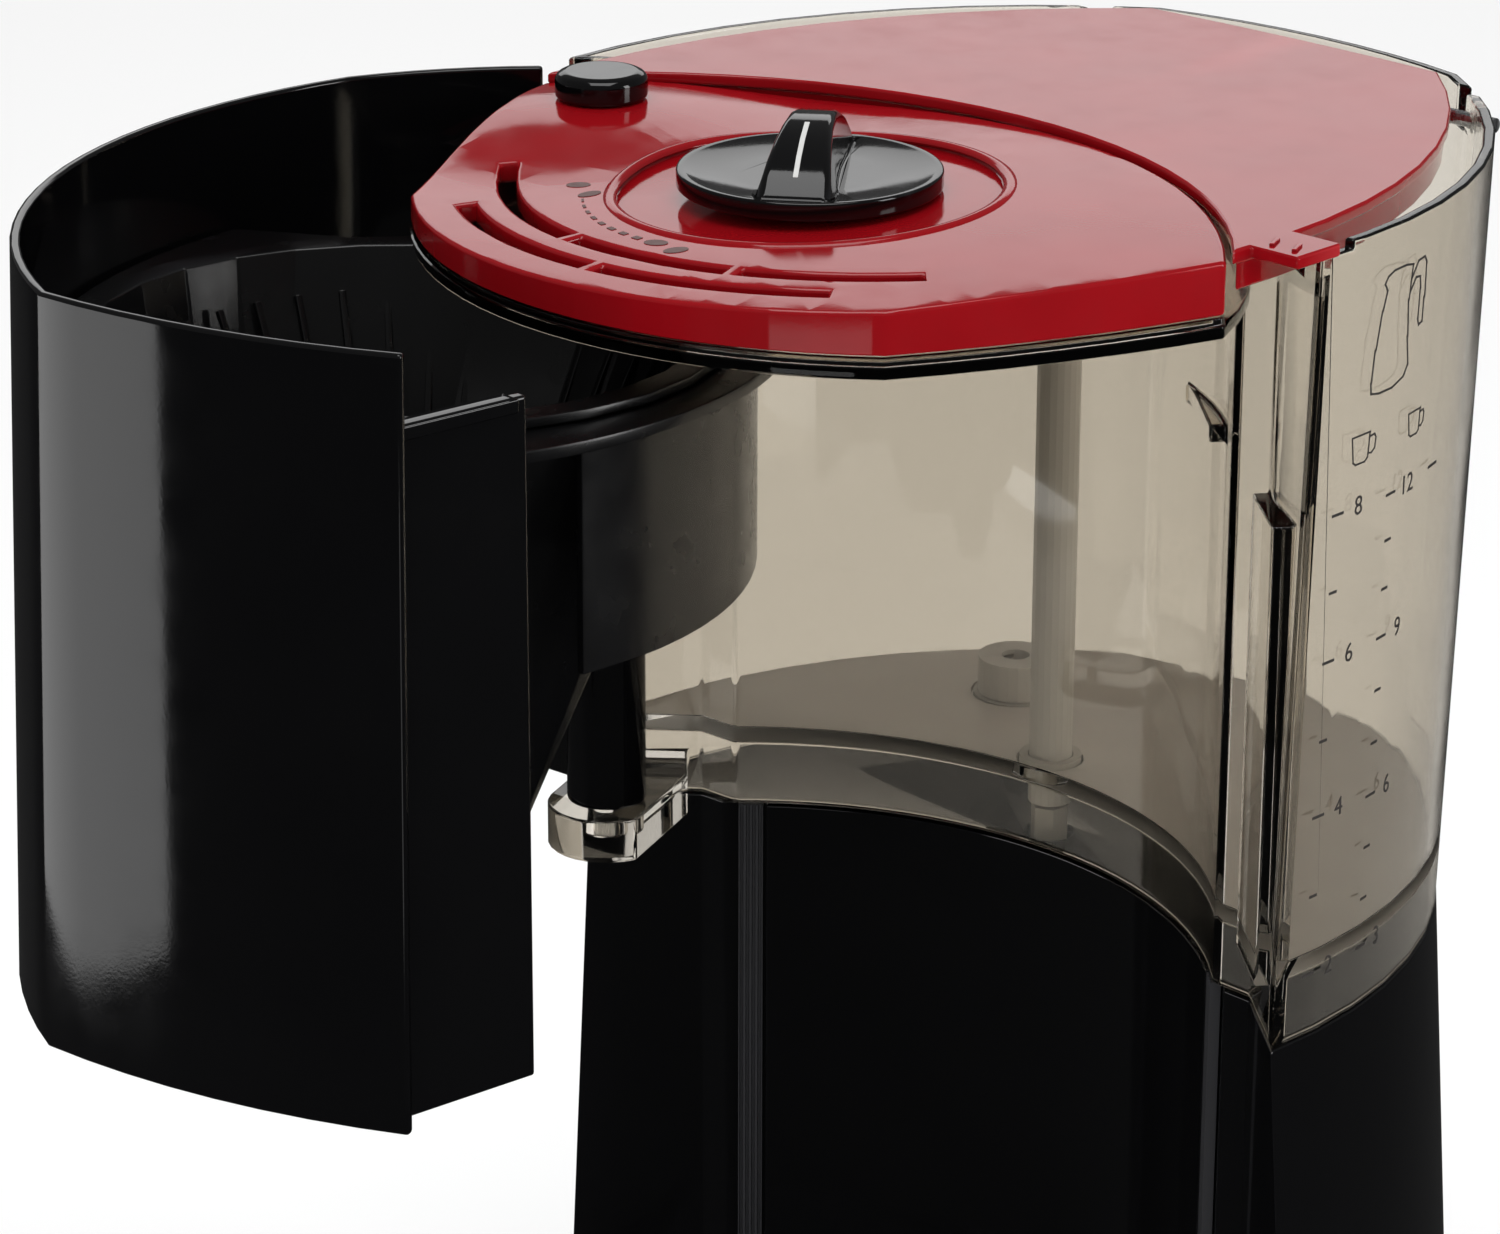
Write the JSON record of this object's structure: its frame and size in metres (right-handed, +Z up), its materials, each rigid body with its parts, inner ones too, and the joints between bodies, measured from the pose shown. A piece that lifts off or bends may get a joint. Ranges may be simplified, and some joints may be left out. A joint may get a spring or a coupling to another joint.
{
  "type": "drip coffee maker",
  "caption": "Drip coffee maker with a swing-out filter housing, translucent rear water tank, lidded top with a strength selector knob, and an open bay for a jug.",
  "frame": {"origin": "on the surface that the feet stand on, under the middle of the body", "axes": "+Z up; the front with the jug bay faces -Y; +X to the right as seen from the front; the filter housing's hinge is at the left front"},
  "size_m": [0.2271, 0.3015, 0.3597],
  "materials": {
    "lid_red": "glossy moulded ABS, deep red",
    "body_black": "high gloss moulded ABS, black",
    "carrier_black": "semi-gloss moulded polypropylene, black",
    "smoke_clear": "clear smoke-tinted SAN",
    "trim_dark": "fine-grained moulded ABS, black",
    "steel": "drawn stainless steel",
    "heater_aluminium": "cast aluminium",
    "seal_silicone": "translucent silicone",
    "foot_rubber": "black rubber",
    "inner_white": "natural polypropylene"
  },
  "bodies": {
    "body": {"base_plate": "trim_dark", "base_screw_1": "steel", "base_screw_2": "steel", "base_screw_3": "steel", "base_screw_4": "steel", "base_shell": "body_black", "bay_canopy": "smoke_clear", "cable_gland": "foot_rubber", "check_valve": "inner_white", "cold_hose": "seal_silicone", "flow_heater": "heater_aluminium", "foot_1": "foot_rubber", "foot_2": "foot_rubber", "foot_3": "foot_rubber", "foot_4": "foot_rubber", "front_lid": "lid_red", "hinge_cap": "body_black", "hinge_pin": "steel", "hot_hose": "seal_silicone", "jug_rest": "trim_dark", "outlet_seal": "seal_silicone", "riser_grommet": "seal_silicone", "riser_tube": "inner_white", "spray_arm": "inner_white", "switch_frame": "trim_dark", "tank_strainer": "inner_white", "terminal_block": "inner_white", "thermal_fuse": "inner_white", "thermostat": "steel", "tower_panel": "body_black", "tower_shell": "body_black", "tower_trim_left": "trim_dark", "tower_trim_right": "trim_dark", "water_tank": "smoke_clear"},
    "filter_unit": {"filter_housing": "body_black", "grip_wall": "body_black", "filter_carrier": "carrier_black", "filter_insert": "carrier_black", "hinge_knuckle": "carrier_black", "drip_seal": "seal_silicone", "drip_spring": "steel"},
    "drip_valve": {"drip_valve": "trim_dark"},
    "tank_lid": {"tank_lid": "lid_red", "lid_pin_left": "steel", "lid_pin_right": "steel"},
    "knob": {"selector_knob": "body_black", "knob_spindle": "inner_white"},
    "power_switch": {"switch_rocker": "trim_dark"}
  },
  "joints": [
    {"name": "filter_swing", "type": "hinge", "parent": "body", "child": "filter_unit", "pos_m": [-0.068, -0.029, 0.26], "axis": [0, 0, 1], "range_deg": [0, 62]},
    {"name": "tank_lid_hinge", "type": "hinge", "parent": "body", "child": "tank_lid", "pos_m": [0, 0.089, 0.3405], "axis": [-1, 0, 0], "range_deg": [0, 95]},
    {"name": "selector_turn", "type": "hinge", "parent": "body", "child": "knob", "pos_m": [0, -0.042, 0.345], "axis": [0, 0, 1], "range_deg": [-60, 30]},
    {"name": "drip_stop_lift", "type": "slide", "parent": "filter_unit", "child": "drip_valve", "axis": [0, 0, 1], "range_m": [0, 0.003], "stiffness_N_per_m": 120, "springref_m": -0.004, "deforming": ["drip_spring"]},
    {"name": "switch_rock", "type": "hinge", "parent": "body", "child": "power_switch", "pos_m": [0, -0.1182, 0.0165], "axis": [1, 0, 0], "range_deg": [-12, 0]}
  ]
}
